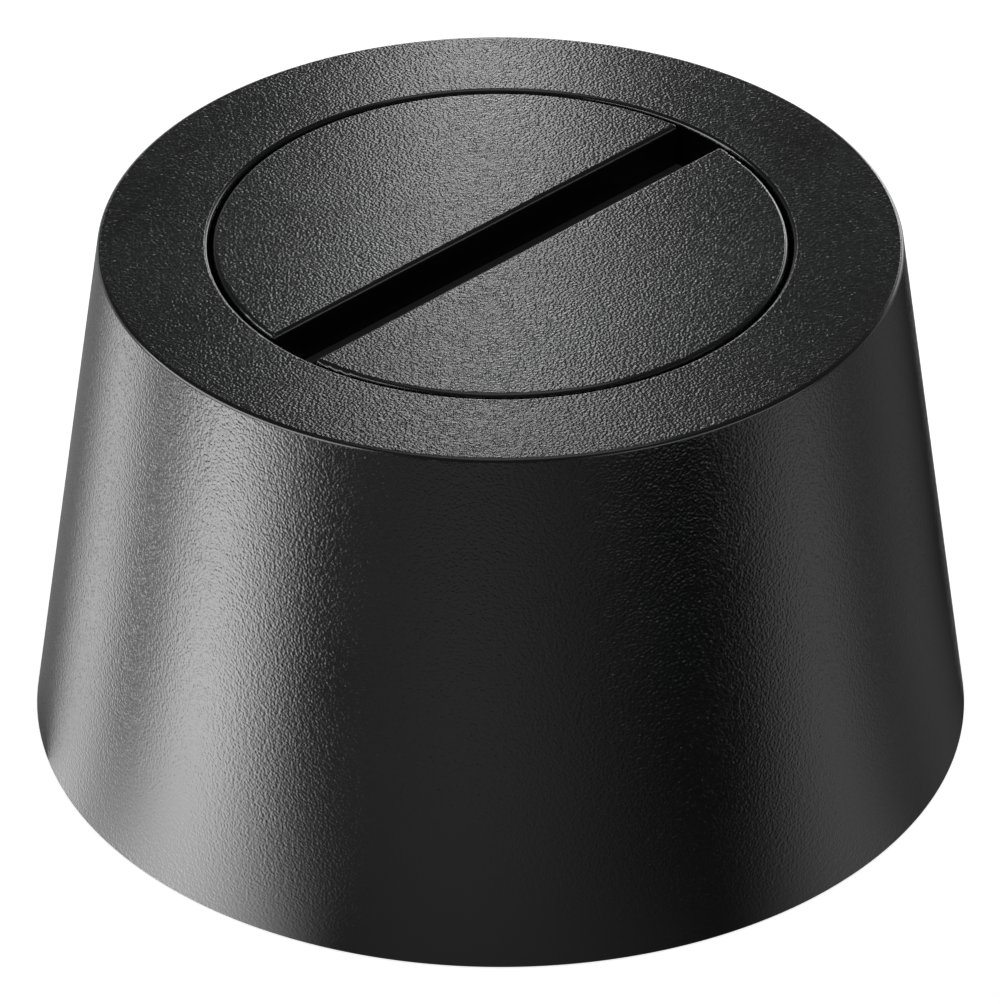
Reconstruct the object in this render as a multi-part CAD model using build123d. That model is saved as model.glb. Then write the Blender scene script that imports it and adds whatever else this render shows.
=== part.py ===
from build123d import *
import os
from math import cos, radians, sin

# A conical desk grommet. Cables come up through the foot and leave by a slot between two
# half-moon caps, which stand on a turret that turns in the housing's collar.
# Millimetres. +Z is up, the origin is the middle of the footprint, and the slot runs along X.

# ---- Driving dimensions ----------------------------------------------------------------

# Outer form
base_diameter = 100.0
top_diameter = 84.0
overall_height = 57.4
edge_radius = 0.5
base_edge_radius = 0.2

# Lid: two half-moon caps in the collar's bore, with the cable slot between them
cap_diameter = 60.0
cap_gap = 0.5
slot_width = 6.1
slot_depth = 4.8
cap_corner_radius = 0.3
cap_skin = 2.2
cap_rim = 1.8
slot_rib = 3.2
stiffener = 1.2
stiffener_spacing = 10.0

# Soft lips that narrow the slot's floor
lip_overhang = 1.0
lip_thickness = 1.0
tongue_width = 1.0
tongue_height = 1.2

# Housing shell
cone_wall = 3.0
ring_thickness = 3.0
collar_wall = 2.0
shelf_thickness = 2.0
rib_thickness = 1.6
shell_boss_diameter = 8.0
shell_boss_height = 18.0

# Turret and the ring that holds it down
flange_width = 6.5
flange_thickness = 4.0
skirt_wall = 2.0
turret_step = 0.5
glide_thickness = 1.0
clip_thickness = 1.2
clip_height_on_skirt = 2.2
clip_groove_depth = 0.8
clip_opening = 50.0
skirt_tail = 1.0
o_ring_section = 1.5
o_ring_height = 1.5

# Cap magnets, their keepers and the locating pegs
magnet_diameter = 4.0
magnet_height = 2.0
keeper_height = 1.0
magnet_boss_wall = 1.4
magnet_angle = 30.0
peg_diameter = 3.0
peg_length = 2.4
peg_angle = 60.0

# Cable sleeve
sleeve_wall = 1.2
sleeve_flange_width = 3.0
sleeve_flange_thickness = 2.0
sleeve_boss_diameter = 6.4
sleeve_boss_height = 8.0
sleeve_web_thickness = 2.0
sleeve_screw_land = 1.2

# Base plate and foot
plate_thickness = 4.0
plate_recess = 0.3
plate_step = 0.2
foot_proud = 0.1
foot_seat_depth = 0.6
foot_width = 3.6
foot_edge_margin = 1.4

# Fasteners
fixing_count = 3
fixing_margin = 2.2
screw_diameter = 3.0
screw_head_diameter = 5.6
screw_head_rim = 0.2
screw_socket = 2.0
screw_socket_depth = 0.9
shell_screw_length = 14.0
sleeve_screw_length = 12.0
insert_diameter = 5.6
insert_thread_diameter = 4.0
insert_length = 7.0
insert_waist_depth = 0.3
insert_waist_length = 1.4
insert_boss_diameter = 8.6
insert_boss_roof = 1.0

# Clearances
running_clearance = 0.06
seat_clearance = 0.05
peg_clearance = 0.08
end_play = 0.2
assembly_gap = 0.2
sleeve_gap = 0.6
screw_passage_clearance = 0.2

# ---- Heights, from the floor and from the top --------------------------------------------

plate_bottom = foot_proud + plate_recess
plate_top = plate_bottom + plate_thickness
foot_top = plate_bottom + foot_seat_depth
sleeve_flange_top = plate_top + sleeve_flange_thickness

ring_underside = overall_height - ring_thickness
turret_face = overall_height - slot_depth
flange_bottom = turret_face - flange_thickness
channel_floor = turret_face - lip_thickness - seat_clearance
glide_top = flange_bottom - seat_clearance
shelf_top = glide_top - glide_thickness
shelf_bottom = shelf_top - shelf_thickness
clip_top = shelf_bottom - end_play
clip_bottom = clip_top - clip_thickness
skirt_end = clip_bottom - skirt_tail
sleeve_top = skirt_end - sleeve_gap

# ---- Radii and places, outwards from the axis ----------------------------------------------

base_radius = base_diameter / 2
top_radius = top_diameter / 2
cap_radius = cap_diameter / 2
collar_bore_radius = cap_radius + cap_gap
collar_radius = collar_bore_radius + collar_wall
turret_bore_radius = cap_radius - flange_width
skirt_radius = turret_bore_radius + skirt_wall
shelf_bore_radius = skirt_radius + running_clearance
cable_radius = turret_bore_radius - turret_step
sleeve_radius = cable_radius + sleeve_wall
plate_bore_radius = sleeve_radius + assembly_gap

o_ring_centre_radius = collar_bore_radius - running_clearance - o_ring_section / 2
o_ring_groove_radius = o_ring_centre_radius - o_ring_section / 2 - seat_clearance
seat_circle_radius = (turret_bore_radius + o_ring_groove_radius) / 2

plate_seat_radius = base_radius - cone_wall + plate_step
plate_radius = plate_seat_radius - assembly_gap
foot_outer_radius = plate_radius - foot_edge_margin
foot_inner_radius = foot_outer_radius - foot_width
fixing_circle_radius = foot_inner_radius - fixing_margin - screw_head_diameter / 2
sleeve_circle_radius = plate_bore_radius + sleeve_screw_land + screw_head_diameter / 2

slot_wall_y = slot_width / 2
slot_rib_y = slot_wall_y + slot_rib
lip_edge_y = slot_wall_y - lip_overhang
tongue_y = slot_wall_y + slot_rib / 2

shell_fixing_angles = [90 + i * 360 / fixing_count for i in range(fixing_count)]
insert_angles = [angle + 180 / fixing_count for angle in shell_fixing_angles]
sleeve_fixing_angles = [0, 180]


# ---- Shapes ------------------------------------------------------------------------------


def cone_radius(height):
    """Radius of the outside of the cone at a height."""
    share = (height - foot_proud) / (overall_height - foot_proud)
    return base_radius + (top_radius - base_radius) * share


def polar(radius, angle):
    """X and Y of a point on a circle about the axis."""
    return radius * cos(radians(angle)), radius * sin(radians(angle))


def disc(radius, bottom, top, at=(0, 0)):
    """An upright cylinder between two heights."""
    upright = Cylinder(radius, top - bottom, align=(Align.CENTER, Align.CENTER, Align.MIN))
    return Pos(at[0], at[1], bottom) * upright


def ring(inner, outer, bottom, top):
    """A flat ring about the axis."""
    return disc(outer, bottom, top) - disc(inner, bottom, top)


def block(x, y, z):
    """A box from three (low, high) pairs."""
    sides = Box(x[1] - x[0], y[1] - y[0], z[1] - z[0], align=(Align.MIN, Align.MIN, Align.MIN))
    return Pos(x[0], y[0], z[0]) * sides


def turned(*outline):
    """A solid turned about Z from (radius, height) points."""
    points = [(radius, 0, height) for radius, height in outline]
    return revolve(make_face(Polyline(*points, close=True)), Axis.Z)


def round_circle(part, radius, height, rounding):
    """Rounds the circular edge that has one radius and lies at one height."""
    near = 1e-3
    circles = part.edges().filter_by(GeomType.CIRCLE)
    level = [e for e in circles if abs(e.center().Z - height) < near]
    return fillet([e for e in level if abs(e.radius - radius) < near], rounding)


# ---- Housing -----------------------------------------------------------------------------


def shell_boss(angle):
    """A screw post on the base plate, tied to the cone wall by a web."""
    top = plate_top + shell_boss_height
    post = disc(shell_boss_diameter / 2, plate_top, top, (fixing_circle_radius, 0))
    post += block(
        (fixing_circle_radius, base_radius),
        (-rib_thickness / 2, rib_thickness / 2),
        (plate_top, top),
    )
    inside = turned(
        (0, plate_top),
        (cone_radius(plate_top) - cone_wall / 2, plate_top),
        (cone_radius(top) - cone_wall / 2, top),
        (0, top),
    )
    return Rot(0, 0, angle) * (post & inside)


def collar_rib(angle):
    """A web under the top ring that ties the collar to the cone wall."""
    web = block(
        (collar_radius - collar_wall / 2, cone_radius(ring_underside) - cone_wall / 2),
        (-rib_thickness / 2, rib_thickness / 2),
        (shelf_bottom, ring_underside),
    )
    return Rot(0, 0, angle) * web


def make_housing_shell():
    """Cone wall, top ring, collar and shelf in one moulding."""
    shell = turned(
        (base_radius, foot_proud),
        (top_radius, overall_height),
        (collar_bore_radius, overall_height),
        (collar_bore_radius, shelf_top),
        (shelf_bore_radius, shelf_top),
        (shelf_bore_radius, shelf_bottom),
        (collar_radius, shelf_bottom),
        (collar_radius, ring_underside),
        (cone_radius(ring_underside) - cone_wall, ring_underside),
        (cone_radius(plate_top) - cone_wall, plate_top),
        (plate_seat_radius, plate_top),
        (plate_seat_radius, foot_proud),
    )
    shell = round_circle(shell, top_radius, overall_height, edge_radius)
    shell = round_circle(shell, collar_bore_radius, overall_height, edge_radius)
    shell = round_circle(shell, base_radius, foot_proud, base_edge_radius)
    for angle in insert_angles:
        shell += collar_rib(angle)
    pilot_top = plate_bottom + shell_screw_length + screw_diameter
    for angle in shell_fixing_angles:
        at = polar(fixing_circle_radius, angle)
        shell += shell_boss(angle)
        shell -= disc(screw_diameter / 2 + seat_clearance, plate_top, pilot_top, at)
    return shell


def screw_passage(at):
    """The hole and countersink that a screw needs through the base plate."""
    head = screw_head_diameter / 2 + seat_clearance
    hole = screw_diameter / 2 + screw_passage_clearance
    cone_end = plate_bottom + screw_head_rim + head - hole
    sink = turned(
        (0, plate_bottom),
        (head, plate_bottom),
        (head, plate_bottom + screw_head_rim),
        (hole, cone_end),
        (hole, plate_top),
        (0, plate_top),
    )
    return Pos(at[0], at[1], 0) * sink


def make_base_plate():
    """Closes the foot of the cone and carries the sleeve, the inserts and the foot ring."""
    plate = ring(plate_bore_radius, plate_radius, plate_bottom, plate_top)
    plate -= ring(
        foot_inner_radius - seat_clearance,
        foot_outer_radius + seat_clearance,
        plate_bottom,
        foot_top,
    )
    boss_top = plate_bottom + insert_length + insert_boss_roof
    for angle in insert_angles:
        at = polar(fixing_circle_radius, angle)
        plate += disc(insert_boss_diameter / 2, plate_bottom + plate_thickness / 2, boss_top, at)
        plate -= disc(insert_diameter / 2 + seat_clearance, plate_bottom, boss_top - insert_boss_roof, at)
    for angle in shell_fixing_angles:
        plate -= screw_passage(polar(fixing_circle_radius, angle))
    for angle in sleeve_fixing_angles:
        plate -= screw_passage(polar(sleeve_circle_radius, angle))
    return plate


def make_cable_sleeve():
    """Guides the cables from the foot to the turret, and is screwed down through the plate."""
    sleeve = disc(sleeve_radius, plate_bottom, sleeve_top)
    sleeve += disc(sleeve_radius + sleeve_flange_width, plate_top, sleeve_flange_top)
    boss_top = sleeve_flange_top + sleeve_boss_height
    for angle in sleeve_fixing_angles:
        sleeve += disc(sleeve_boss_diameter / 2, plate_top, boss_top, polar(sleeve_circle_radius, angle))
        web = block(
            (cable_radius, sleeve_circle_radius),
            (-sleeve_web_thickness / 2, sleeve_web_thickness / 2),
            (plate_top, boss_top),
        )
        sleeve += Rot(0, 0, angle) * web
    sleeve -= disc(cable_radius, plate_bottom, sleeve_top)
    pilot_top = plate_bottom + sleeve_screw_length + screw_diameter / 2
    for angle in sleeve_fixing_angles:
        at = polar(sleeve_circle_radius, angle)
        sleeve -= disc(screw_diameter / 2 + seat_clearance, plate_top, pilot_top, at)
    return sleeve


def make_foot_ring():
    """Soft ring that the grommet stands on, held in a groove under the base plate."""
    return ring(foot_inner_radius, foot_outer_radius, 0, foot_top)


def make_glide_ring():
    """Slippery washer on the shelf, under the turret's flange."""
    inner = shelf_bore_radius + assembly_gap
    return ring(inner, collar_bore_radius - assembly_gap, shelf_top, glide_top)


def make_screw(length, at):
    """A countersunk socket screw that goes up through the base plate."""
    head = screw_head_diameter / 2
    shank = screw_diameter / 2
    body = turned(
        (0, 0),
        (head, 0),
        (head, screw_head_rim),
        (shank, screw_head_rim + head - shank),
        (shank, length - shank / 2),
        (shank / 2, length),
        (0, length),
    )
    socket = extrude(RegularPolygon(screw_socket / 2, 6, major_radius=False), screw_socket_depth)
    return Pos(at[0], at[1], plate_bottom) * (body - socket)


def make_insert(at):
    """A brass insert with a waist between its two gripping bands."""
    outer = insert_diameter / 2
    insert = ring(insert_thread_diameter / 2, outer, 0, insert_length)
    waist_start = (insert_length - insert_waist_length) / 2
    waist_end = waist_start + insert_waist_length
    insert -= ring(outer - insert_waist_depth, outer, waist_start, waist_end)
    return Pos(at[0], at[1], plate_bottom) * insert


# ---- Turret ------------------------------------------------------------------------------


def seat_places(side, angle):
    """The two places on the seat circle, mirrored across Y, on the +Y or -Y side."""
    x, y = polar(seat_circle_radius, angle)
    return [(-x, side * y), (x, side * y)]


def make_turret_ring():
    """Flange that carries the caps, and the skirt that turns in the shelf's bore."""
    turret = disc(cap_radius, flange_bottom, turret_face) + disc(skirt_radius, skirt_end, flange_bottom)
    turret -= disc(turret_bore_radius, skirt_end, turret_face)
    o_ring_z = flange_bottom + o_ring_height
    groove_half = o_ring_section / 2 + seat_clearance
    turret -= ring(o_ring_groove_radius, cap_radius, o_ring_z - groove_half, o_ring_z + groove_half)
    clip_seat = skirt_radius - clip_groove_depth
    turret -= ring(clip_seat, skirt_radius, clip_bottom - seat_clearance, clip_top + seat_clearance)
    channel_y = slot_rib_y + assembly_gap
    turret -= block((-cap_radius, cap_radius), (-channel_y, channel_y), (channel_floor, turret_face))
    pocket_floor = turret_face - keeper_height
    peg_hole_floor = turret_face - peg_length - end_play
    for side in (1, -1):
        for at in seat_places(side, magnet_angle):
            turret -= disc(magnet_diameter / 2 + seat_clearance, pocket_floor, turret_face, at)
        for at in seat_places(side, peg_angle):
            turret -= disc(peg_diameter / 2 + peg_clearance, peg_hole_floor, turret_face, at)
    return turret


def make_retaining_ring():
    """Open spring ring in the skirt's groove, under the shelf."""
    inner = skirt_radius - clip_groove_depth + seat_clearance
    outer = skirt_radius + clip_height_on_skirt
    clip = ring(inner, outer, clip_bottom, clip_top)
    far = 2 * outer
    sides = [polar(far, 90 - clip_opening / 2), polar(far, 90 + clip_opening / 2)]
    wedge = make_face(Polyline((0, 0), *sides, close=True))
    return clip - Pos(0, 0, clip_bottom) * extrude(wedge, clip_thickness)


def make_friction_ring():
    """O-ring round the flange that centres the turret and steadies its turning."""
    return Pos(0, 0, flange_bottom + o_ring_height) * Torus(o_ring_centre_radius, o_ring_section / 2)


def make_keeper(at):
    """Steel disc let into the turret's face under a cap magnet."""
    return disc(magnet_diameter / 2, turret_face - keeper_height, turret_face, at)


# ---- Caps, made on the +Y side and turned half round for the -Y side -----------------------


def half_moon(radius, wall_y, bottom, top):
    """The part of a disc that lies beyond a straight wall."""
    beyond = block((-radius, radius), (wall_y, radius), (bottom, top))
    return disc(radius, bottom, top) & beyond


def make_cap_half():
    """Half-moon cap: a skin with a rim, a rib along the slot, bosses and locating pegs."""
    cap = half_moon(cap_radius, slot_wall_y, turret_face, overall_height)
    cap = fillet(cap.edges().filter_by(Axis.Z), cap_corner_radius)
    cap = fillet(cap.faces().sort_by(Axis.Z)[-1].edges(), edge_radius)
    ceiling = overall_height - cap_skin
    cap -= half_moon(cap_radius - cap_rim, slot_rib_y, turret_face, ceiling)
    inside = half_moon(cap_radius - cap_rim / 2, slot_wall_y + slot_rib / 2, turret_face, ceiling)
    for step in (-1, 0, 1):
        middle = step * stiffener_spacing
        web = block(
            (middle - stiffener / 2, middle + stiffener / 2),
            (slot_wall_y, cap_radius),
            (turret_face + seat_clearance, ceiling),
        )
        cap += web & inside
    for at in seat_places(1, magnet_angle):
        boss = disc(magnet_diameter / 2 + magnet_boss_wall, turret_face, ceiling, at)
        cap += boss & inside
        cap -= disc(magnet_diameter / 2 + seat_clearance, turret_face, turret_face + magnet_height, at)
    for at in seat_places(1, peg_angle):
        cap += disc(peg_diameter / 2, turret_face - peg_length, ceiling, at)
    groove_half = tongue_width / 2 + seat_clearance
    cap -= block(
        (-cap_radius, cap_radius),
        (tongue_y - groove_half, tongue_y + groove_half),
        (turret_face, turret_face + tongue_height + seat_clearance),
    )
    return cap


def make_lip():
    """Soft strip under the slot rib, held by a tongue in the rib's groove."""
    reach = cap_radius - assembly_gap
    strip = block((-reach, reach), (lip_edge_y, slot_rib_y), (turret_face - lip_thickness, turret_face))
    tongue = block(
        (-reach, reach),
        (tongue_y - tongue_width / 2, tongue_y + tongue_width / 2),
        (turret_face, turret_face + tongue_height),
    )
    return (strip + tongue) & disc(reach, turret_face - lip_thickness, overall_height)


def make_magnet(at):
    """Disc magnet, flush with the underside of its cap."""
    return disc(magnet_diameter / 2, turret_face, turret_face + magnet_height, at)


# ---- The set of pieces ---------------------------------------------------------------------


def make_pieces():
    """Every piece by its name."""
    pieces = {
        "housing_shell": make_housing_shell(),
        "base_plate": make_base_plate(),
        "cable_sleeve": make_cable_sleeve(),
        "foot_ring": make_foot_ring(),
        "glide_ring": make_glide_ring(),
        "turret_ring": make_turret_ring(),
        "retaining_ring": make_retaining_ring(),
        "friction_ring": make_friction_ring(),
    }
    for i, angle in enumerate(shell_fixing_angles, 1):
        pieces[f"shell_screw_{i}"] = make_screw(shell_screw_length, polar(fixing_circle_radius, angle))
    for i, angle in enumerate(sleeve_fixing_angles, 1):
        pieces[f"sleeve_screw_{i}"] = make_screw(sleeve_screw_length, polar(sleeve_circle_radius, angle))
    for i, angle in enumerate(insert_angles, 1):
        pieces[f"mounting_insert_{i}"] = make_insert(polar(fixing_circle_radius, angle))
    for name, side in (("rear", 1), ("front", -1)):
        turn = Rot(0, 0, 0 if side == 1 else 180)
        pieces[f"{name}_cap"] = turn * make_cap_half()
        pieces[f"{name}_lip"] = turn * make_lip()
        for i, at in enumerate(seat_places(side, magnet_angle), 1):
            pieces[f"{name}_magnet_{i}"] = make_magnet(at)
            pieces[f"{name}_keeper_{i}"] = make_keeper(at)
    return pieces


os.makedirs("parts", exist_ok=True)
for name, piece in make_pieces().items():
    export_step(piece, f"parts/{name}.step")
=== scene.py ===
import math

import bpy
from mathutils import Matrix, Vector


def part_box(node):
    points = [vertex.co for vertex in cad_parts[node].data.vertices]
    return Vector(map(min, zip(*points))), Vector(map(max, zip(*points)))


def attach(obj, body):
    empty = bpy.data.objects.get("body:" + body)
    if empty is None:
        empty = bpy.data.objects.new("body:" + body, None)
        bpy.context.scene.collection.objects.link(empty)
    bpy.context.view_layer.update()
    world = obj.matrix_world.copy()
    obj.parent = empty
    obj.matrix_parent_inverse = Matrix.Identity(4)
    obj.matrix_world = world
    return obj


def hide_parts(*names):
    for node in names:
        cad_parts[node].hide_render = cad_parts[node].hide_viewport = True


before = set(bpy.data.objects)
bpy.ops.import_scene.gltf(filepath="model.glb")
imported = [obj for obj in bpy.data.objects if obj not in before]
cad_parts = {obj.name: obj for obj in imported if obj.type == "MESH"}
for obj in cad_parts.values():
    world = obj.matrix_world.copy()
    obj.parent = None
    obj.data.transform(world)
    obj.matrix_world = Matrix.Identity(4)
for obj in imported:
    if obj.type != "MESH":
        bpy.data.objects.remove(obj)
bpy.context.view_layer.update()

MM = 0.001
shell_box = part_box("housing_shell")
shell_foot = shell_box[0].z
shell_top = shell_box[1].z
# The cone's radius falls by TAPER from foot to top. Its foot edge is rounded, and that takes
# ROUNDING_CUT off the widest circle.
TAPER = 8 * MM
ROUNDING_CUT = 0.0279 * MM
CONE_TILT = math.degrees(math.atan(TAPER / (shell_top - shell_foot)))
base_radius = shell_box[1].x + ROUNDING_CUT

# ---- The camera, at the photograph's viewing angle
VIEW_AZIMUTH = -45.0
BEHIND = VIEW_AZIMUTH + 180
VIEW_ELEVATION = 33.275
VIEW_DISTANCE = 0.8946
VIEW_TARGET_HEIGHT = 0.0275
VIEW_AIM = (-0.000045, 0.000045, 0.0246)
SENSOR = 36.0
LENS = 302.26

# ---- The set: a pale floor, which gloss sees as white only in the far zone behind the object,
# and a dim world with a pale backdrop low on the horizon
FLOOR_SIZE = 6.0
FLOOR_COLOUR = (0.80, 0.80, 0.80)
FLOOR_PALE_PATCH = (0.82, 0.82, 0.82)
FLOOR_PATCH_SCALE = 8.0
FLOOR_ROUGHNESS = 0.9
FLOOR_SPECULAR = 0.1
FLOOR_WHITE = 0.86
NEAR_WHITE_IN_GLOSS = 0.04
FAR_ZONE = (0.15, 0.45)
WORLD_COLOUR = (0.97, 0.98, 1.0)
HORIZON_STRENGTH = 0.90
SKY_STRENGTH = 0.12
HORIZON_BAND = (0.0, 0.22)
BACKDROP_SIDE = (0.0, 0.5)


def direction(azimuth, elevation):
    """Unit vector from the object towards a viewer at that azimuth and elevation."""
    a = math.radians(azimuth)
    e = math.radians(elevation)
    return Vector((math.sin(a) * math.cos(e), -math.cos(a) * math.cos(e), math.sin(e)))


def look_at(thing, target):
    """Turn a camera or a lamp so that it points at the target."""
    away = thing.location - Vector(target)
    thing.rotation_euler = away.to_track_quat("Z", "Y").to_euler()


def add_camera():
    """The camera at the photograph's viewing angle."""
    camera_data = bpy.data.cameras.new("camera")
    camera_data.sensor_width = SENSOR
    camera_data.lens = LENS
    camera_data.clip_start = 0.01
    camera_data.clip_end = 50
    camera = bpy.data.objects.new("camera", camera_data)
    bpy.context.scene.collection.objects.link(camera)
    target = Vector((0, 0, VIEW_TARGET_HEIGHT))
    camera.location = target + VIEW_DISTANCE * direction(VIEW_AZIMUTH, VIEW_ELEVATION)
    look_at(camera, VIEW_AIM)
    bpy.context.scene.camera = camera


# ---- Node helpers
def new_material(name):
    """An empty node material with one Principled shader."""
    material = bpy.data.materials.new(name)
    material.use_nodes = True
    tree = material.node_tree
    tree.nodes.clear()
    output = tree.nodes.new("ShaderNodeOutputMaterial")
    shader = tree.nodes.new("ShaderNodeBsdfPrincipled")
    tree.links.new(shader.outputs["BSDF"], output.inputs["Surface"])
    return material, tree, shader


def add_noise(tree, vector, scale, detail=2.0, roughness=0.5):
    noise = tree.nodes.new("ShaderNodeTexNoise")
    noise.inputs["Scale"].default_value = scale
    noise.inputs["Detail"].default_value = detail
    noise.inputs["Roughness"].default_value = roughness
    tree.links.new(vector, noise.inputs["Vector"])
    return noise.outputs["Fac"]


def map_range(tree, value, low, high, to_low, to_high):
    node = tree.nodes.new("ShaderNodeMapRange")
    node.inputs["From Min"].default_value = low
    node.inputs["From Max"].default_value = high
    node.inputs["To Min"].default_value = to_low
    node.inputs["To Max"].default_value = to_high
    tree.links.new(value, node.inputs["Value"])
    return node.outputs["Result"]


def combine(tree, operation, a, b):
    """A Math node on two values, each of which is a number or a socket."""
    node = tree.nodes.new("ShaderNodeMath")
    node.operation = operation
    for socket, value in zip(node.inputs, (a, b)):
        if isinstance(value, (int, float)):
            socket.default_value = value
        else:
            tree.links.new(value, socket)
    return node.outputs["Value"]


def mix_colours(tree, factor, first, second):
    node = tree.nodes.new("ShaderNodeMix")
    node.data_type = "RGBA"
    node.inputs["A"].default_value = (*first, 1.0)
    node.inputs["B"].default_value = (*second, 1.0)
    tree.links.new(factor, node.inputs["Factor"])
    return node.outputs["Result"]


def add_bump(tree, shader, height, distance):
    """Relief of the given height, where 1 stands for the distance."""
    bump = tree.nodes.new("ShaderNodeBump")
    bump.inputs["Strength"].default_value = 1.0
    bump.inputs["Distance"].default_value = distance
    tree.links.new(height, bump.inputs["Height"])
    tree.links.new(bump.outputs["Normal"], shader.inputs["Normal"])


def behind_object(tree, vector):
    """How far a place or a direction lies on the side away from the camera."""
    away = direction(BEHIND, 0)
    node = tree.nodes.new("ShaderNodeVectorMath")
    node.operation = "DOT_PRODUCT"
    node.inputs[1].default_value = tuple(away)
    tree.links.new(vector, node.inputs[0])
    return node.outputs["Value"]


# ---- Materials
# The moulded grain is rounded cells with waves on top. Sizes of both are shares of GRAIN_SIZE.
GRAIN_SIZE = 0.30 * MM
GRAIN_DEPTH = 0.026 * MM
CELL_SHARE = 1.2
CELL_SMOOTHNESS = 0.3
CELL_REACH = 0.8
WAVE_SHARE = 0.8
WAVE_HEIGHT = 1.2
# The grain lies where the surface faces up and where it faces as the cone does: the upward part
# of the normal fades it in on the flats, and its distance from the cone's fades it out
CONE_NORMAL_Z = math.sin(math.radians(CONE_TILT))
FLAT_FADE = (0.95, 0.985)
CONE_FADE = (0.02, 0.10)
BLACK = (0.0065, 0.0066, 0.0069)
PALER_BLACK = (0.0095, 0.0095, 0.0099)
BLACK_PATCH_SCALE = 60.0
BLACK_ROUGHNESS = (0.19, 0.23)
BLACK_SPECULAR = 0.45

# Noise of this scale varies the tone and the gloss of the other surfaces
PATCH_SCALE = 90.0
PATCH_DETAIL = 4.0
PATCH_ROUGHNESS = 0.6
PATCH_SPREAD = (0.3, 0.7)

# Slot: dark tone, light tone, roughness, scale of the fine relief, its depth
PLAIN_FINISHES = {
    "inner_black": ((0.010, 0.010, 0.0105), (0.015, 0.015, 0.0155), (0.45, 0.58), 5000, 0.006 * MM),
    "soft_black": ((0.016, 0.016, 0.0165), (0.024, 0.024, 0.0245), (0.68, 0.82), 4000, 0.010 * MM),
    "glide_white": ((0.70, 0.69, 0.65), (0.76, 0.75, 0.71), (0.35, 0.45), 3000, 0.003 * MM),
    "zinc_steel": ((0.55, 0.57, 0.60), (0.66, 0.66, 0.66), (0.28, 0.42), 2500, 0.004 * MM),
    "spring_steel": ((0.10, 0.10, 0.11), (0.17, 0.17, 0.18), (0.32, 0.45), 2500, 0.004 * MM),
    "brass": ((0.66, 0.45, 0.17), (0.78, 0.57, 0.25), (0.26, 0.38), 2500, 0.003 * MM),
    "magnet_nickel": ((0.60, 0.58, 0.54), (0.70, 0.68, 0.64), (0.15, 0.25), 2000, 0.002 * MM),
}
METALS = ("zinc_steel", "spring_steel", "brass", "magnet_nickel")


def grain_height(tree, place):
    """Rounded cells with waves on top."""
    cells = tree.nodes.new("ShaderNodeTexVoronoi")
    cells.feature = "SMOOTH_F1"
    cells.inputs["Scale"].default_value = 1 / (GRAIN_SIZE * CELL_SHARE)
    cells.inputs["Smoothness"].default_value = CELL_SMOOTHNESS
    tree.links.new(place, cells.inputs["Vector"])
    pebbles = map_range(tree, cells.outputs["Distance"], 0.0, CELL_REACH, 1.0, 0.0)
    waves = add_noise(tree, place, 1 / (GRAIN_SIZE * WAVE_SHARE), 0.0)
    return combine(tree, "ADD", pebbles, combine(tree, "MULTIPLY", waves, WAVE_HEIGHT))


def grained_parts(tree, normal):
    """1 on the flats and on the cone, and 0 on rounded edges and upright walls."""
    turned = tree.nodes.new("ShaderNodeSeparateXYZ")
    tree.links.new(normal, turned.inputs["Vector"])
    up = turned.outputs["Z"]
    flat = map_range(tree, up, *FLAT_FADE, 0.0, 1.0)
    off_cone = combine(tree, "ABSOLUTE", combine(tree, "SUBTRACT", up, CONE_NORMAL_Z), 0.0)
    cone = map_range(tree, off_cone, *CONE_FADE, 1.0, 0.0)
    return combine(tree, "MAXIMUM", flat, cone)


def grained_black():
    """Black moulding with a fine grain on its flats and on the cone, and smooth rounded edges."""
    material, tree, shader = new_material("grained_black")
    coordinates = tree.nodes.new("ShaderNodeTexCoord")
    place = coordinates.outputs["Object"]
    grained = grained_parts(tree, coordinates.outputs["Normal"])
    height = combine(tree, "MULTIPLY", grain_height(tree, place), grained)
    add_bump(tree, shader, height, GRAIN_DEPTH)
    patches = add_noise(tree, place, BLACK_PATCH_SCALE, 3.0)
    tree.links.new(mix_colours(tree, patches, BLACK, PALER_BLACK), shader.inputs["Base Color"])
    roughness = map_range(tree, patches, *PATCH_SPREAD, *BLACK_ROUGHNESS)
    tree.links.new(roughness, shader.inputs["Roughness"])
    shader.inputs["Specular IOR Level"].default_value = BLACK_SPECULAR
    return material


def plain(name, dark, light, rough, scale, depth):
    """A surface whose tone, gloss and fine relief follow noise."""
    material, tree, shader = new_material(name)
    place = tree.nodes.new("ShaderNodeTexCoord").outputs["Object"]
    patches = add_noise(tree, place, PATCH_SCALE, PATCH_DETAIL, PATCH_ROUGHNESS)
    tree.links.new(mix_colours(tree, patches, dark, light), shader.inputs["Base Color"])
    tree.links.new(map_range(tree, patches, *PATCH_SPREAD, *rough), shader.inputs["Roughness"])
    add_bump(tree, shader, add_noise(tree, place, scale, 2.0), depth)
    shader.inputs["Metallic"].default_value = 1.0 if name in METALS else 0.0
    shader.inputs["Specular IOR Level"].default_value = 0.5
    return material


def make_materials():
    """One material for each of the record's slots."""
    made = {"grained_black": grained_black()}
    for name, finish in PLAIN_FINISHES.items():
        made[name] = plain(name, *finish)
    return made


def dress(nodes, materials):
    """Every CAD node gets the material of its slot."""
    for node in nodes.values():
        for place in node.material_slots:
            slot_name = place.material.name.split(".")[0]
            place.link = "OBJECT"
            place.material = materials[slot_name]


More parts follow.
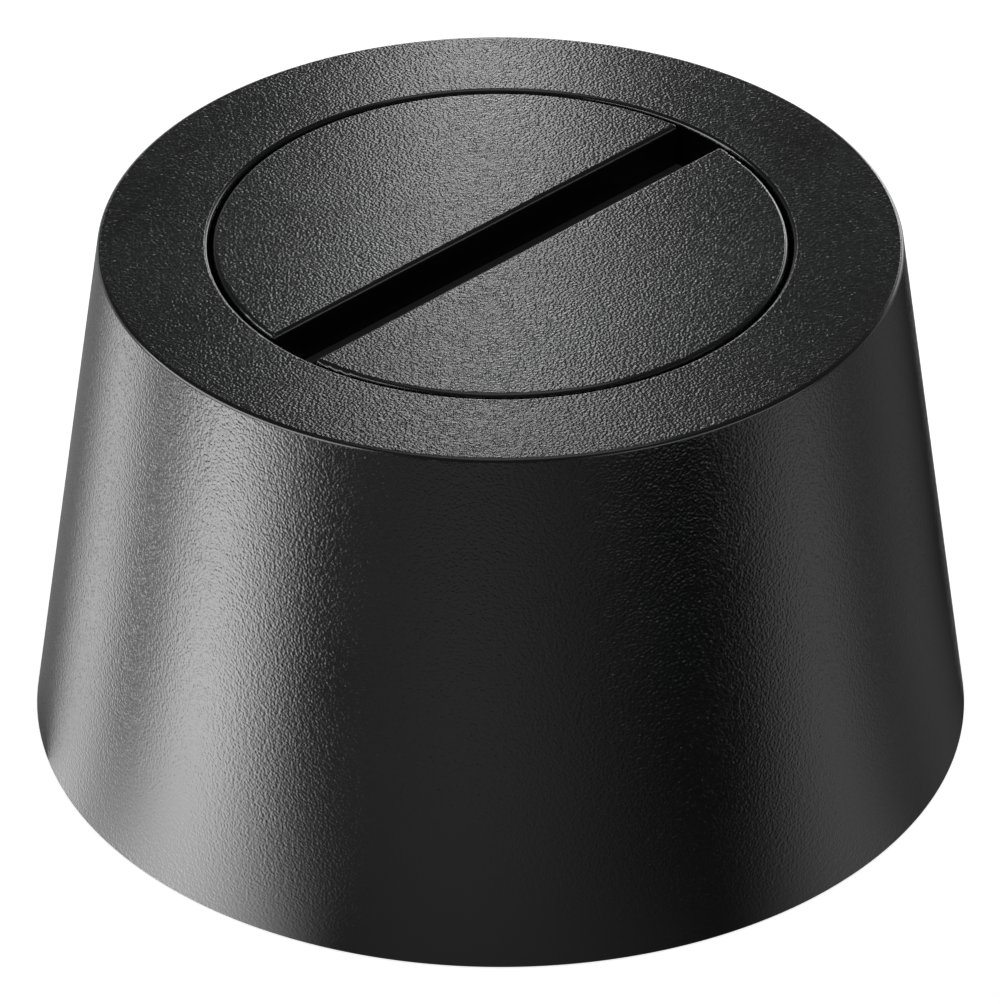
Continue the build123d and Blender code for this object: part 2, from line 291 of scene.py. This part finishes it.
# ---- The housing shell, turned finely so that its outline is smooth. The walls, posts and ribs
# have the CAD part's sizes, and the rest comes from the boxes of its neighbours.
SHELL_SEGMENTS = 480
POST_SEGMENTS = 48
ROUNDING_STEPS = 8
EDGE_ROUNDING = 0.5 * MM
BASE_ROUNDING = 0.2 * MM
CAP_GAP = 0.5 * MM
CONE_WALL = 3.0 * MM
COLLAR_WALL = 2.0 * MM
SHELF = 2.0 * MM
CLIP_PAST_SHELF_BORE = 2.14 * MM
PLATE = 4.0 * MM
PLATE_GAP = 0.2 * MM
RIB_HALF = 0.8 * MM
RIB_ANGLES = (30, 150, 270)
POST_RADIUS = 4.0 * MM
POST_HEIGHT = 18.0 * MM
PILOT_RADIUS = 1.55 * MM
PILOT_HEIGHT = 13.0 * MM
# How far a rib's web reaches into the wall or the post at its ends
WALL_OVERLAP = 0.5
POST_OVERLAP = 0.9
# A circle smaller than this is a single vertex on the axis
ON_AXIS = 1e-7
BLOCK_SIDES = ((3, 2, 1, 0), (4, 5, 6, 7), (0, 1, 5, 4), (1, 2, 6, 5), (2, 3, 7, 6), (3, 0, 4, 7))


def turn_by(pair, angle):
    """A pair of coordinates, turned about the origin by an angle in radians."""
    c = math.cos(angle)
    s = math.sin(angle)
    return (pair[0] * c - pair[1] * s, pair[0] * s + pair[1] * c)


def outline_strips(corners):
    """The straight and the rounded strips of a closed outline.

    A corner is (radius, height, rounding). A strip is a list of points, each of which is
    (radius, height, normal across, normal up).
    """
    places = [Vector(corner[:2]) for corner in corners]
    rounded = []
    for i, here in enumerate(places):
        arriving = (here - places[i - 1]).normalized()
        leaving = (places[(i + 1) % len(places)] - here).normalized()
        rounding = corners[i][2]
        bend = arriving.angle(leaving)
        cut = rounding * math.tan(bend / 2) if rounding else 0.0
        normal = (arriving.y, -arriving.x)
        start = here - arriving * cut
        middle = start - Vector(normal) * rounding
        arc = []
        for step in range(ROUNDING_STEPS + 1 if rounding else 0):
            across, up = turn_by(normal, bend * step / ROUNDING_STEPS)
            arc.append((middle.x + across * rounding, middle.y + up * rounding, across, up))
        rounded.append((start, here + leaving * cut, arc))
    strips = []
    for i, (start, end, arc) in enumerate(rounded):
        following = rounded[(i + 1) % len(rounded)][0]
        along = (following - end).normalized()
        normal = (along.y, -along.x)
        if arc:
            strips.append(arc)
        strips.append([(end.x, end.y, *normal), (following.x, following.y, *normal)])
    return strips


class Turned:
    """Collects surfaces turned about upright axes, and blocks, with their exact normals."""

    def __init__(self):
        self.vertices = []
        self.faces = []
        self.normals = []

    def row(self, rows, radius, height, at, turns):
        """The vertices of one circle, which is a single vertex on the axis."""
        key = (round(radius, 8), round(height, 8))
        if key not in rows:
            first = len(self.vertices)
            if radius < ON_AXIS:
                self.vertices.append((at[0], at[1], height))
                rows[key] = [first] * len(turns)
            else:
                for c, s in turns:
                    self.vertices.append((at[0] + radius * c, at[1] + radius * s, height))
                rows[key] = list(range(first, first + len(turns)))
        return rows[key]

    def add_turned(self, corners, segments, at=(0.0, 0.0)):
        """An outline turned about the upright axis at a place."""
        turns = []
        for i in range(segments):
            angle = 2 * math.pi * i / segments
            turns.append((math.cos(angle), math.sin(angle)))
        rows = {}
        for strip in outline_strips(corners):
            for start, end in zip(strip, strip[1:]):
                first = self.row(rows, start[0], start[1], at, turns)
                second = self.row(rows, end[0], end[1], at, turns)
                for i in range(segments):
                    self.add_quad(first, second, i, (i + 1) % segments, start, end, turns)

    def add_quad(self, first, second, i, j, start, end, turns):
        """The face between two circles and two turns; it is a triangle on the axis."""
        corners = (
            (first[i], i, start),
            (first[j], j, start),
            (second[j], j, end),
            (second[i], i, end),
        )
        face = []
        for vertex, k, point in corners:
            if vertex not in [known for known, normal in face]:
                face.append((vertex, (turns[k][0] * point[2], turns[k][1] * point[2], point[3])))
        if len(face) > 2:
            self.faces.append([vertex for vertex, normal in face])
            self.normals += [normal for vertex, normal in face]

    def add_web(self, angle, inner, outer, half_width, z):
        """An upright web along a radius; outer and z hold its end and height, low and high."""
        first = len(self.vertices)
        for height, end in zip(z, outer):
            for along, across in ((inner, -1), (end, -1), (end, 1), (inner, 1)):
                place = turn_by((along, across * half_width), math.radians(angle))
                self.vertices.append((*place, height))
        for side in BLOCK_SIDES:
            face = [first + i for i in side]
            a, b, d = (Vector(self.vertices[i]) for i in face[:3])
            normal = (b - a).cross(d - b).normalized()
            self.faces.append(face)
            self.normals += [tuple(normal)] * 4

    def make(self, name):
        """One object of everything collected, shaded by the exact normals."""
        mesh = bpy.data.meshes.new(name)
        mesh.from_pydata(self.vertices, [], self.faces)
        mesh.polygons.foreach_set("use_smooth", [True] * len(mesh.polygons))
        mesh.normals_split_custom_set(self.normals)
        piece = bpy.data.objects.new(name, mesh)
        bpy.context.scene.collection.objects.link(piece)
        return piece


def cone_radius(height):
    """The cone's outer radius at a height."""
    return base_radius - (height - shell_foot) * math.tan(math.radians(CONE_TILT))


def add_screw_posts(shell, plate_top):
    """A post round each shell screw, with its pilot hole and a web to the cone."""
    post_top = plate_top + POST_HEIGHT
    pilot_top = plate_top + PILOT_HEIGHT
    post = [
        (PILOT_RADIUS, plate_top, 0),
        (POST_RADIUS, plate_top, 0),
        (POST_RADIUS, post_top, 0),
        (0, post_top, 0),
        (0, pilot_top, 0),
        (PILOT_RADIUS, pilot_top, 0),
    ]
    inside = CONE_WALL * WALL_OVERLAP
    web_ends = (cone_radius(plate_top) - inside, cone_radius(post_top) - inside)
    for i in (1, 2, 3):
        low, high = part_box(f"shell_screw_{i}")
        at = ((low.x + high.x) / 2, (low.y + high.y) / 2)
        shell.add_turned(post, POST_SEGMENTS, at)
        angle = math.degrees(math.atan2(at[1], at[0]))
        reach = math.hypot(*at) + POST_RADIUS * POST_OVERLAP
        shell.add_web(angle, reach, web_ends, RIB_HALF, (plate_top, post_top))


def make_shell(material):
    """The cone, its top ring, the collar and the shelf, with the ribs and screw posts inside."""
    ring_underside = shell_top - CONE_WALL
    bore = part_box("rear_cap")[1].y + CAP_GAP
    collar = bore + COLLAR_WALL
    plate_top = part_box("base_plate")[0].z + PLATE
    plate_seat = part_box("base_plate")[1].x + PLATE_GAP
    shelf_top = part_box("glide_ring")[0].z
    shelf_bottom = shelf_top - SHELF
    shelf_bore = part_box("retaining_ring")[1].x - CLIP_PAST_SHELF_BORE
    shell = Turned()
    shell.add_turned(
        [
            (base_radius, shell_foot, BASE_ROUNDING),
            (cone_radius(shell_top), shell_top, EDGE_ROUNDING),
            (bore, shell_top, EDGE_ROUNDING),
            (bore, shelf_top, 0),
            (shelf_bore, shelf_top, 0),
            (shelf_bore, shelf_bottom, 0),
            (collar, shelf_bottom, 0),
            (collar, ring_underside, 0),
            (cone_radius(ring_underside) - CONE_WALL, ring_underside, 0),
            (cone_radius(plate_top) - CONE_WALL, plate_top, 0),
            (plate_seat, plate_top, 0),
            (plate_seat, shell_foot, 0),
        ],
        SHELL_SEGMENTS,
    )
    rib_start = collar - COLLAR_WALL * WALL_OVERLAP
    rib_end = cone_radius(ring_underside) - CONE_WALL * WALL_OVERLAP
    rib_heights = (shelf_bottom, ring_underside)
    for angle in RIB_ANGLES:
        shell.add_web(angle, rib_start, (rib_end, rib_end), RIB_HALF, rib_heights)
    add_screw_posts(shell, plate_top)
    piece = shell.make("turned_shell")
    piece.data.materials.append(material)
    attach(piece, "housing")
    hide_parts("housing_shell")


# ---- Floor, world and lamps
def add_floor():
    """A pale floor that the camera, and gloss behind the object, see as white."""
    half = FLOOR_SIZE / 2
    mesh = bpy.data.meshes.new("floor")
    corners = [(-half, -half, 0), (half, -half, 0), (half, half, 0), (-half, half, 0)]
    mesh.from_pydata(corners, [], [(0, 1, 2, 3)])
    floor = bpy.data.objects.new("floor", mesh)
    bpy.context.scene.collection.objects.link(floor)
    material, tree, shader = new_material("floor")
    place = tree.nodes.new("ShaderNodeTexCoord").outputs["Object"]
    patches = add_noise(tree, place, FLOOR_PATCH_SCALE)
    tone = mix_colours(tree, patches, FLOOR_COLOUR, FLOOR_PALE_PATCH)
    tree.links.new(tone, shader.inputs["Base Color"])
    shader.inputs["Roughness"].default_value = FLOOR_ROUGHNESS
    shader.inputs["Specular IOR Level"].default_value = FLOOR_SPECULAR
    rays = tree.nodes.new("ShaderNodeLightPath").outputs
    behind = behind_object(tree, place)
    far = map_range(tree, behind, *FAR_ZONE, NEAR_WHITE_IN_GLOSS, FLOOR_WHITE)
    mirrored = combine(tree, "MAXIMUM", rays["Is Glossy Ray"], rays["Is Transmission Ray"])
    mirrored = combine(tree, "MULTIPLY", mirrored, far)
    seen = combine(tree, "MULTIPLY", rays["Is Camera Ray"], FLOOR_WHITE)
    shader.inputs["Emission Color"].default_value = (1, 1, 1, 1)
    tree.links.new(combine(tree, "MAXIMUM", seen, mirrored), shader.inputs["Emission Strength"])
    mesh.materials.append(material)


def set_world():
    """A dim studio with a pale backdrop behind the object, low on the horizon."""
    world = bpy.data.worlds.new("studio")
    world.use_nodes = True
    tree = world.node_tree
    background = tree.nodes["Background"]
    background.inputs["Color"].default_value = (*WORLD_COLOUR, 1.0)
    toward = tree.nodes.new("ShaderNodeTexCoord").outputs["Generated"]
    turned = tree.nodes.new("ShaderNodeSeparateXYZ")
    tree.links.new(toward, turned.inputs["Vector"])
    added = HORIZON_STRENGTH - SKY_STRENGTH
    low = map_range(tree, turned.outputs["Z"], *HORIZON_BAND, added, 0.0)
    back = map_range(tree, behind_object(tree, toward), *BACKDROP_SIDE, 0.0, 1.0)
    backdrop = combine(tree, "MULTIPLY", low, back)
    tree.links.new(combine(tree, "ADD", backdrop, SKY_STRENGTH), background.inputs["Strength"])
    bpy.context.scene.world = world


def add_softbox(name, azimuth, elevation, distance, width, height, radiance, target):
    """A soft rectangular lamp that faces a point; its azimuth counts from the camera's."""
    lamp = bpy.data.lights.new(name, "AREA")
    lamp.shape = "RECTANGLE"
    lamp.size = width
    lamp.size_y = height
    lamp.energy = radiance * math.pi * width * height
    softbox = bpy.data.objects.new(name, lamp)
    bpy.context.scene.collection.objects.link(softbox)
    softbox.location = target + distance * direction(VIEW_AZIMUTH + azimuth, elevation)
    look_at(softbox, target)
    softbox.visible_camera = False
    return softbox


def mirrored_spot(azimuth, height):
    """Where the camera sees the floor mirrored in the cone, for a place on the cone."""
    facing = direction(VIEW_AZIMUTH + azimuth, CONE_TILT)
    seen = direction(VIEW_AZIMUTH, VIEW_ELEVATION)
    ray = 2 * facing.dot(seen) * facing - seen
    radius = base_radius - height * math.tan(math.radians(CONE_TILT))
    return direction(VIEW_AZIMUTH + azimuth, 0) * radius - ray * (height / ray.z)


# Soft panels of the light table. For each: the azimuth from the camera of the place on the cone
# that mirrors its middle, how many degrees it reaches to each side, and its radiance
TABLE_PANELS = (
    (-65, 14, 3.5),
    (-41, 16, 10.0),
    (-5, 32, 0.5),
    (45, 14, 1.0),
    (65, 22, 0.25),
)
# Azimuths where the table begins and ends, and the step between its places
TABLE_BEGIN = -75
TABLE_END = 88
TABLE_STEP = 1
TABLE_HEIGHT = 0.05 * MM
# Heights on the cone of the table's three rows, and how widely each row spreads the panels
TABLE_ROWS = ((0.0, 1.4), (20 * MM, 1.0), (85 * MM, 1.0))


def table_glow(azimuth, spread):
    """Radiance of a place on the table: the sum of its panels, which fade to their sides."""
    glow = 0.0
    for middle, reach, radiance in TABLE_PANELS:
        offset = min(abs(azimuth - middle) / (reach * spread), 1.0)
        glow += radiance / spread * math.cos(math.pi / 2 * offset) ** 2
    return glow


def light_table_mesh():
    """Rows of places on the floor in the cone's mirror image, each with its glow."""
    azimuths = range(TABLE_BEGIN, TABLE_END + 1, TABLE_STEP)
    count = len(azimuths)
    corners = []
    levels = []
    for height, spread in TABLE_ROWS:
        for azimuth in azimuths:
            spot = mirrored_spot(azimuth, height)
            corners.append((spot.x, spot.y, TABLE_HEIGHT))
            levels.append(table_glow(azimuth, spread))
    faces = []
    for first in range(0, count * (len(TABLE_ROWS) - 1), count):
        for i in range(first, first + count - 1):
            faces.append((i, i + count, i + count + 1, i + 1))
    mesh = bpy.data.meshes.new("light_table")
    mesh.from_pydata(corners, [], faces)
    if mesh.polygons[0].normal.z < 0:
        mesh.flip_normals()
    glow = mesh.attributes.new("glow", "FLOAT", "POINT")
    glow.data.foreach_set("value", levels)
    return mesh


def light_table_material():
    """Light of the mesh's own glow, from its upper side only."""
    material = bpy.data.materials.new("light_table")
    material.use_nodes = True
    tree = material.node_tree
    tree.nodes.clear()
    output = tree.nodes.new("ShaderNodeOutputMaterial")
    emission = tree.nodes.new("ShaderNodeEmission")
    level = tree.nodes.new("ShaderNodeAttribute")
    level.attribute_name = "glow"
    underside = tree.nodes.new("ShaderNodeNewGeometry").outputs["Backfacing"]
    upper_side = map_range(tree, underside, 0, 1, 1, 0)
    strength = combine(tree, "MULTIPLY", level.outputs["Fac"], upper_side)
    tree.links.new(strength, emission.inputs["Strength"])
    tree.links.new(emission.outputs["Emission"], output.inputs["Surface"])
    return material


def add_light_table():
    """A lit table that only gloss shows: soft panels round the foot."""
    mesh = light_table_mesh()
    mesh.materials.append(light_table_material())
    table = bpy.data.objects.new("light_table", mesh)
    bpy.context.scene.collection.objects.link(table)
    table.visible_camera = False
    table.visible_diffuse = False
    table.visible_shadow = False


# ---- Lamps, aimed at the middle of the top. For each: name, azimuth from the camera, elevation,
# distance, width, height, radiance
SOFTBOXES = (
    ("overhead", 20, 82, 1.2, 0.90, 0.90, 1.12),
    ("back_low", 169, 5, 0.9, 0.84, 0.22, 2.4),
)
STRIP = ("back_strip", 180, 33, 0.17, 0.0165, 0.14, 5.35)
# The strip is aimed off the middle, by this much along the camera's right
STRIP_SHIFT = -2.4 * MM
# These three light the rounded edges and the grain, and nothing else
GLOSS_SOFTBOXES = (
    ("back_right", 146, 12, 0.6, 0.36, 0.24, 2.1),
    ("front_right", 56, 6, 0.6, 0.70, 0.20, 2.2),
    ("left_low", -72, 12, 0.5, 0.70, 0.24, 7.0),
)


def add_lamps():
    """Plain soft studio light, with a strip behind the object that its top mirrors."""
    top = Vector((0, 0, shell_top))
    right = direction(VIEW_AZIMUTH + 90, 0)
    for lamp in SOFTBOXES:
        add_softbox(*lamp, top)
    add_softbox(*STRIP, top + STRIP_SHIFT * right)
    for lamp in GLOSS_SOFTBOXES:
        softbox = add_softbox(*lamp, top)
        softbox.visible_diffuse = False


bpy.context.scene.view_settings.view_transform = "Standard"
add_camera()
set_world()
add_floor()
add_lamps()
add_light_table()
materials = make_materials()
dress(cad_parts, materials)
make_shell(materials["grained_black"])
